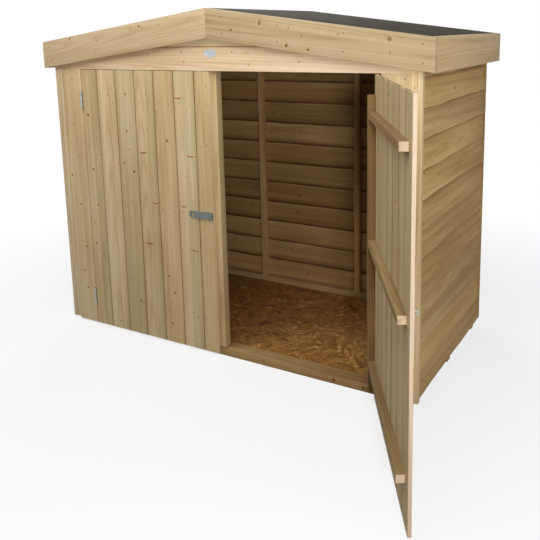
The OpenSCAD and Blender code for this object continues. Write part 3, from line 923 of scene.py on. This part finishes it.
# Nails of the boards beside the doors: heights, and places as shares of half their width
PANEL_NAIL_HEIGHTS = (0.028, 0.64, 1.25)
PANEL_NAILS = (-0.56, 0.56)
front_nails = []
for side, node, tone in ((-1, "front_left_panel", PALE), (1, "front_right_panel", PALE_WITH_PAINTED_LIGHT)):
    mk = Maker(node + ".dressed")
    middle = side * (PANEL_IN + PANEL_OUT) / 2
    half = (PANEL_OUT - PANEL_IN) / 2
    board = Board(mk.rng, (middle, FRONT_Y, DOOR_BOTTOM), Z_AXIS, X_AXIS, Y_AXIS, tone)
    plank(mk, board, board_section(-half, half, False, False), HEAD_Z - HEAD_DROP - DOOR_BOTTOM)
    if side < 0:
        placed_knots(mk, board, middle - half, middle + half)
    else:
        scatter_knots(mk, board, HEAD_Z - DOOR_BOTTOM, -half, half, 0.0, -1, *OUTER_KNOTS)
    mk.finish(FRONT_WOOD, "shed", (node,))
    for z in PANEL_NAIL_HEIGHTS:
        for place in PANEL_NAILS:
            front_nails.append(((middle + place * half, FRONT_Y, z), TO_FRONT))

# Gable boards from the lowest up, cut to the roof
GABLE_EDGES = (HEAD_Z - HEAD_DROP, HEAD_Z + BOARD_FIRST, HEAD_Z + BOARD_FIRST + BOARD_COVER, RIDGE_Z)
# Their tones, lighter with painted light against the bargeboards' shadow, most on the upper two
GABLE_TONES_AND_LIGHT = ((1.28, 1.21, 1.34), (1.5, 1.43, 1.54), (1.5, 1.43, 1.54))
# How dark the painted shade and dirt in their joints are
GABLE_JOINT_SHADE_AND_DIRT = 0.35
# Knots of the gable in millimetres: across, height and kind
GABLE_KNOTS = ((-334, 1338, "small"), (-152, 1350, "smear"), (-140, 1306, "smear"), (110, 1348, "small"),
               (179, 1344, "long"), (191, 1296, "smear"), (-590, 1294, "small"), (420, 1310, "small"))
GABLE_KNOT_ROOM = 0.02
mk = Maker("front_gable.dressed")
for row, (low, high) in enumerate(zip(GABLE_EDGES, GABLE_EDGES[1:])):
    middle = (low + high) / 2
    board = Board(mk.rng, (-PANEL_OUT, FRONT_Y, middle), X_AXIS, Z_AXIS, Y_AXIS, GABLE_TONES_AND_LIGHT[row])
    section = board_section(low - middle, high - middle, row > 0, row < 2, GABLE_JOINT_SHADE_AND_DIRT)
    plank(mk, board, section, 2 * PANEL_OUT, bow=0.0)
    for x, z, kind in GABLE_KNOTS:
        if low < z * MM < high:
            knot_at(mk, board, (x * MM, FRONT_Y, z * MM), TO_FRONT, kind, GABLE_KNOT_ROOM)
roof_cut(mk)
mk.finish(FRONT_WOOD, "shed", ("front_gable",))

# Corner trims, cut to the roof: two strips on each front corner, one on each back corner
TRIM_TOP = RIDGE_Z - 0.1
TRIM_EASE = 0.0012
# Tints of the trims; the right ones are lighter with painted light against the open door's shadow
TRIM_TINTS_AND_LIGHT = {-1: (1.14, 1.15, 1.24), 1: (1.24, 1.18, 1.22)}
# The front strips: where the outer one starts, the crack between them and how far the inner one lies back
TRIM_SPLIT = PANEL_OUT + 0.023
TRIM_CRACK = 0.001
TRIM_STEP = 0.0015
TRIM_STRIPS = ((PANEL_OUT, TRIM_SPLIT - TRIM_CRACK, TRIM_STEP), (TRIM_SPLIT, HALF_W, 0.0))
TRIM_NAIL_X = PANEL_OUT + 0.011
TRIM_NAIL_HEIGHTS = (0.06, 0.45, 0.85, 1.22)
mk = Maker("front_trims.dressed")
for side in (-1, 1):
    for near, far, step in TRIM_STRIPS:
        middle = side * (near + far) / 2
        half = (far - near) / 2
        deep = TRIM_T - step
        tone = [x * y for x, y in zip(tinted(mk.rng, 0.04), TRIM_TINTS_AND_LIGHT[side])]
        board = Board(mk.rng, (middle, FRAME_Y - deep, TRIM_BOTTOM), Z_AXIS, X_AXIS, Y_AXIS, tone)
        # Their eased edges, sides and back are darker with painted shade
        section = [(-half, TRIM_EASE, 0.8), (-half + TRIM_EASE, 0.0, 1.0), (half - TRIM_EASE, 0.0, 1.0),
                   (half, TRIM_EASE, 0.8), (half, deep, 0.8), (-half, deep, 0.8)]
        plank(mk, board, section, TRIM_TOP - TRIM_BOTTOM)
    for z in TRIM_NAIL_HEIGHTS:
        front_nails.append(((side * TRIM_NAIL_X, FRAME_Y - TRIM_T + TRIM_STEP, z), TO_FRONT))
roof_cut(mk)
mk.finish(FRONT_WOOD, "shed", ("front_trims",))

mk = Maker("back_trims.dressed")
for side in (-1, 1):
    middle = side * (PANEL_OUT + HALF_W) / 2
    half = (HALF_W - PANEL_OUT) / 2
    eased = TRIM_T - TRIM_EASE
    tone = tinted(mk.rng, 0.06)
    board = Board(mk.rng, (middle, BACK_FRAME_Y, CLAD_BOTTOM), Z_AXIS, X_AXIS, Y_AXIS, tone)
    section = [(-half, 0.0, 1.0), (half, 0.0, 1.0), (half, eased, 1.0), (half - TRIM_EASE, TRIM_T, 1.0),
               (-half + TRIM_EASE, TRIM_T, 1.0), (-half, eased, 1.0)]
    plank(mk, board, section, TRIM_TOP - CLAD_BOTTOM)
roof_cut(mk)
mk.finish(CLAD_WOOD, "shed", ("back_trims",))

# Overlap cladding: tapered boards, each lapped by the one above
CLAD_LAP = 0.012
CLAD_RISE = CLAD_PITCH + CLAD_LAP
CLAD_LEAN = (CLAD_T - CLAD_THIN) / CLAD_PITCH
# Thickness of a board at its lower and upper edge
CLAD_FOOT = 0.008
CLAD_HEAD = 0.006
CLAD_INNER_TOP = max(CLAD_T - CLAD_LEAN * CLAD_RISE - CLAD_HEAD, 0.0002)
CLAD_INNER_LEAN = (CLAD_T - CLAD_FOOT - CLAD_INNER_TOP) / CLAD_RISE
# How dark painted shade makes the boards inside, how much that differs between them, and how much they differ
# outside
CLAD_INSIDE_SHADE = 0.71
CLAD_UNEVEN = 0.16
CLAD_SPREAD = 0.13
CLAD_WAVES = (0.0026, 0.0014)
CLAD_STEPS = 28
# Up the outer face and down the inner one: height on the board, and painted shade under and above the laps
OUTER_SHADES = ((0.013, 1.06), (0.05, 1.0), (CLAD_PITCH - 0.016, 0.96), (CLAD_PITCH - 0.007, 0.72),
                (CLAD_PITCH - 0.002, 0.36), (CLAD_RISE, 0.3))
INNER_SHADES = ((CLAD_RISE - 0.005, 1.0), (CLAD_LAP + 0.034, 1.0), (CLAD_LAP + 0.016, 0.74),
                (CLAD_LAP + 0.006, 0.34))
# Knots of both faces: usual distance, size and strengths
OUTER_LAP_KNOTS = (0.3, 0.006, (0.3, 0.7))
INNER_LAP_KNOTS = (0.22, 0.0075, (0.2, 0.55))
LAP_NAIL_HEIGHT = 0.022
LAP_NAIL_RADIUS = 0.0022
# What the top board and the nails keep from the roof
ROOF_FREE = 0.002
NAIL_FREE = 0.006


def lap_section(inner):
    """A lapped board's cross-section: up its outer face, and down the inner one, which is darker."""
    foot = CLAD_T - CLAD_FOOT
    lapped = CLAD_LAP - 0.002
    # The lower edge: painted shade beneath, then a painted highlight on its front
    section = [(0.0, foot, 0.4), (0.001, CLAD_T - 0.0006, 0.85), (0.0035, CLAD_T, 1.2)]
    section += [(a, CLAD_T - CLAD_LEAN * a, shade) for a, shade in OUTER_SHADES]
    section.append((CLAD_RISE, foot - CLAD_INNER_LEAN * CLAD_RISE, 1.1))
    section += [(a, foot - CLAD_INNER_LEAN * a, shade * inner) for a, shade in INNER_SHADES]
    section.append((lapped, foot - CLAD_INNER_LEAN * lapped, 0.12))
    return section


def lap_face(rng, board, depth, lean, tint, grain_depth):
    """One sloping face of a lapped board, with the board's own grain."""
    across = (Z_AXIS - board.out * lean).normalized()
    out = (board.out + Z_AXIS * lean).normalized()
    face = Board(rng, board.origin + board.out * depth, board.along, across, out, tint[:3])
    face.tint = tint
    face.pith = board.pith
    face.depth = board.depth + grain_depth
    face.drift = board.drift
    return face


def cladding(node, origin, along, out, length, nail_places):
    """One wall of lapped boards, its origin at the bottom of the framing's outer face."""
    mk = Maker(node + ".dressed")
    spots = []
    rows = math.ceil((RIDGE_Z - ROOF_DROP - ROOF_FREE - CLAD_BOTTOM) / CLAD_PITCH)
    for row in range(rows):
        base = Vector(origin) + Z_AXIS * (CLAD_BOTTOM + row * CLAD_PITCH)
        board = Board(mk.rng, base, along, Z_AXIS, out, tinted(mk.rng, CLAD_SPREAD))
        inner = CLAD_INSIDE_SHADE * mk.rng.uniform(1 - CLAD_UNEVEN, 1 + CLAD_UNEVEN)
        plank(mk, board, lap_section(inner), length, steps=CLAD_STEPS, waves=CLAD_WAVES, bow=0.0)
        outside = lap_face(mk.rng, board, CLAD_T, CLAD_LEAN, board.tint, CLAD_T)
        scatter_knots(mk, outside, length, 0.006, CLAD_PITCH - 0.004, 0.0, 1, *OUTER_LAP_KNOTS)
        for place in nail_places:
            spot = board.at(place, LAP_NAIL_HEIGHT, CLAD_T - CLAD_LEAN * LAP_NAIL_HEIGHT)
            if spot.z < RIDGE_Z - ROOF_DROP - ROOF_FALL * abs(spot.x) - NAIL_FREE:
                spots.append((spot, outside.out))
        inner_tint = shaded(board.tint, inner)
        inside = lap_face(mk.rng, board, CLAD_T - CLAD_FOOT, CLAD_INNER_LEAN, inner_tint, 0.0)
        scatter_knots(mk, inside, length, CLAD_LAP + 0.012, CLAD_RISE - 0.004, 0.0, -1, *INNER_LAP_KNOTS)
    roof_cut(mk)
    mk.finish(CLAD_WOOD, "shed", (node,))
    nails(node + "_nails", spots, "shed", LAP_NAIL_RADIUS)


SIDE_LENGTH = BACK_FRAME_Y - FRAME_Y
END_NAIL = 0.02
SIDE_NAILS = (END_NAIL, SIDE_LENGTH / 2, SIDE_LENGTH - END_NAIL)
BACK_NAILS = (END_NAIL, PANEL_OUT - BATTEN_X, PANEL_OUT + BATTEN_X, 2 * PANEL_OUT - END_NAIL)
cladding("right_cladding", (SIDE_FRAME_X, FRAME_Y, 0), Y_AXIS, X_AXIS, SIDE_LENGTH, SIDE_NAILS)
cladding("left_cladding", (-SIDE_FRAME_X, FRAME_Y, 0), Y_AXIS, -X_AXIS, SIDE_LENGTH, SIDE_NAILS)
cladding("back_cladding", (-PANEL_OUT, BACK_FRAME_Y, 0), X_AXIS, Y_AXIS, 2 * PANEL_OUT, BACK_NAILS)

# Timbers whose solids have the right shape already, eased and given their grain
PALE_BATTEN = (1.34, 1.34, 1.4)
DARK_BATTEN = (0.56, 0.53, 0.46)
SILL_TINT = (0.8, 0.76, 0.67)
STRIP_TINT = (0.98, 0.95, 0.9)
# Knots on the sill's front in millimetres: across, height and kind
SILL_KNOTS = ((549, 17, "eye"), (210, 21, "small"), (680, 18, "dark"), (-300, 14, "small"))
for node in ("floor_bearers", "front_posts", "front_header", "left_posts", "right_posts",
             "left_rails", "right_rails", "back_rails", "ridge_batten"):
    dress(node, FRAME_WOOD)
dress("back_battens", FRAME_WOOD, tint=PALE_BATTEN)
for node in ("left_door_batten", "right_door_batten"):
    dress(node, FRAME_WOOD, tint=DARK_BATTEN)
sill_spots = [((x * MM, SILL_FRONT, z * MM), TO_FRONT, kind) for x, z, kind in SILL_KNOTS]
dress("door_sill", SILL_WOOD, tint=SILL_TINT, knots=sill_spots)
for node in ("left_door_ledges", "right_door_ledges"):
    dress(node, LEDGE_WOOD, ends=END_TINT)
dress("meeting_strip", FRONT_WOOD, tint=STRIP_TINT)

# Roof boards, with their knots in millimetres: across, height and kind; the back repeats the front
BARGE_KNOTS = ((-355, 1459, "dark"), (-406, 1450, "small"), (-780, 1410, "dark"), (-606, 1398, "small"),
               (-246, 1459, "smear"), (260, 1460, "burl"), (126, 1435, "dark"), (391, 1438, "smear"),
               (448, 1406, "smear"), (379, 1372, "eye"), (472, 1356, "dark"), (798, 1393, "burl"),
               (800, 1344, "smear"), (598, 1412, "smear"), (-905, 1319, "smear"))
BARGE_TINTS = {"left": (0.87, 0.87, 0.9), "right": (0.77, 0.77, 0.77)}
EAVES_TINT = (0.91, 0.89, 0.83)
ROOF_BEVEL = 0.0015
for end, facing, face_y in (("front", -1, FRONT_Y - BARGE_OUT), ("back", 1, BACK_Y + BARGE_OUT)):
    for side, hand in ((-1, "left"), (1, "right")):
        spots = [((x * MM, face_y, z * MM), (0, facing, 0), kind)
                 for x, z, kind in BARGE_KNOTS if x * side > 0]
        dress(f"{end}_{hand}_bargeboard", ROOF_WOOD, bevel=ROOF_BEVEL,
              tint=BARGE_TINTS[hand], knots=spots)
for node in ("left_eaves_board", "right_eaves_board"):
    dress(node, ROOF_WOOD, bevel=ROOF_BEVEL, tint=EAVES_TINT)

# Sheet boards, felt and hardware
SHEET_BEVEL = 0.0006
FELT_BEVEL = 0.0008
METAL_BEVEL = 0.0003
for node in ("floor_deck", "left_roof_deck", "right_roof_deck"):
    dress(node, FLOOR_BOARD, bevel=SHEET_BEVEL)
for node in ("left_roof_felt", "right_roof_felt"):
    dress(node, FELT, bevel=FELT_BEVEL)
for node in ("left_frame_hinges", "right_frame_hinges", "left_door_hinges", "right_door_hinges",
             "hasp_staple"):
    dress(node, ZINC, bevel=METAL_BEVEL)
for node in ("hasp_plate", "hasp_strap"):
    dress(node, DULL_ZINC, bevel=METAL_BEVEL)

# Nails of the bargeboards: places across, and how far below the roof
BARGE_NAILS = (0.08, 0.34, 0.62, 0.92)
BARGE_NAIL_DROPS = (0.028, 0.094)
for side in (-1, 1):
    for x in BARGE_NAILS:
        for drop in BARGE_NAIL_DROPS:
            z = RIDGE_Z - ROOF_FALL * x - drop
            front_nails.append(((side * x, FRONT_Y - BARGE_OUT, z), TO_FRONT))
nails("front_nails", front_nails, "shed")

# The bare oval plate on the gable, from rings: share of its size, and height
PLATE = Vector((0.0, FRONT_Y, 1.342))
PLATE_ACROSS = X_AXIS * 0.032
PLATE_UP = Z_AXIS * 0.0175
PLATE_SIDES = 40
PLATE_RINGS = ((1.0, -0.0002), (1.0, 0.0007), (0.965, 0.0012), (0.9, 0.0012), (0.88, 0.0009))
mk = Maker("oval_plate")
dome(mk, PLATE, PLATE_ACROSS, PLATE_UP, -Y_AXIS, PLATE_RINGS, PLATE_SIDES)
mk.finish(PLATE_METAL, "shed")


# Stage, light and camera

def light_path_white(tree):
    """One for rays that see the stage directly, in a mirror or through glass."""
    path = tree.node("ShaderNodeLightPath")
    seen = tree.math("ADD", path.outputs["Is Camera Ray"], path.outputs["Is Glossy Ray"], clamp=True)
    return tree.math("ADD", seen, path.outputs["Is Transmission Ray"], clamp=True)


WHITE = (1, 1, 1, 1)
FLOOR_HALF = 7.0
FLOOR_SEEN = (0.95, 0.95, 0.95, 1.0)
FLOOR_BOUNCE = (0.17, 0.14, 0.1, 1.0)
# The floor's white share, which rises to one between two distances from the middle
FADE = (1.2, 2.6)
FADE_FROM = 0.75
floor_mesh = bpy.data.meshes.new("stage_floor")
corners = [(x * FLOOR_HALF, y * FLOOR_HALF, 0) for x, y in ((-1, -1), (1, -1), (1, 1), (-1, 1))]
floor_mesh.from_pydata(corners, [], [(0, 1, 2, 3)])
floor = add("stage_floor", floor_mesh)
t = Tree(bpy.data.materials.new("stage_floor"))
seen_white = light_path_white(t)
t.surface(t.mix(seen_white, FLOOR_BOUNCE, FLOOR_SEEN), 1.0, 0.0)
whiteness = t.math("MULTIPLY", seen_white, t.spread(t.length(t.place()), *FADE, FADE_FROM, 1.0))
white = t.node("ShaderNodeEmission", {"Color": WHITE, "Strength": 1.0})
blend = t.node("ShaderNodeMixShader", {0: whiteness, 1: t.shader.outputs[0], 2: white.outputs[0]})
t.links.new(blend.outputs[0], t.nodes["Material Output"].inputs["Surface"])
floor_mesh.materials.append(t.owner)

WORLD_LIGHT = 0.1
world = bpy.data.worlds.new("studio")
bpy.context.scene.world = world
sky = Tree(world)
background = sky.nodes["Background"]
sky.put(background.inputs["Color"], WHITE)
sky.put(background.inputs["Strength"], sky.spread(light_path_white(sky), 0.0, 1.0, WORLD_LIGHT, 1.0))

# Soft lamps round the stage: place, power and edge length; the last one lights the back
LAMP_AIM = Vector((0.1, 0.0, 0.8))
LAMPS = {"lamp_left": ((-1.5, -1.9, 2.6), 23.0, 1.5), "lamp_front": ((2.2, -3.0, 1.35), 42.0, 0.35),
         "lamp_right": ((3.2, -0.8, 1.8), 23.0, 1.7), "lamp_top": ((0.3, -1.5, 2.9), 28.0, 1.5),
         "lamp_back": ((-2.2, 2.8, 2.4), 62.0, 2.0)}
for name, (spot, power, edge) in LAMPS.items():
    lamp_data = bpy.data.lights.new(name, "AREA")
    lamp_data.energy = power
    lamp_data.size = edge
    lamp = add(name, lamp_data)
    lamp.location = spot
    lamp.rotation_mode = "QUATERNION"
    lamp.rotation_quaternion = (LAMP_AIM - Vector(spot)).to_track_quat("-Z", "Y")

# The camera of the photograph, fitted to the corners of the solids
IMAGE = 540.0
SENSOR = 36.0
FOCAL_PX = 688.2
CENTRE_PX = (286.5, 156.0)
YAW, PITCH, ROLL = (math.radians(v) for v in (-30.29, -10.31, -1.15))
CAMERA_PLACE = Vector((1.712, -2.322 + FRONT_Y, 1.427))
forward = Vector((math.sin(YAW) * math.cos(PITCH), math.cos(YAW) * math.cos(PITCH), math.sin(PITCH)))
level = Vector((math.cos(YAW), -math.sin(YAW), 0))
upright = level.cross(forward)
right = level * math.cos(ROLL) + upright * math.sin(ROLL)
up = upright * math.cos(ROLL) - level * math.sin(ROLL)
camera_data = bpy.data.cameras.new("photo_camera")
camera_data.sensor_width = SENSOR
camera_data.lens = FOCAL_PX / IMAGE * SENSOR
camera_data.shift_x = (IMAGE / 2 - CENTRE_PX[0]) / IMAGE
camera_data.shift_y = (CENTRE_PX[1] - IMAGE / 2) / IMAGE
camera = add("photo_camera", camera_data)
turned = Matrix((right, up, -forward)).transposed().to_4x4()
camera.matrix_world = Matrix.Translation(CAMERA_PLACE) @ turned
bpy.context.scene.camera = camera

bpy.context.scene.view_settings.view_transform = "Standard"
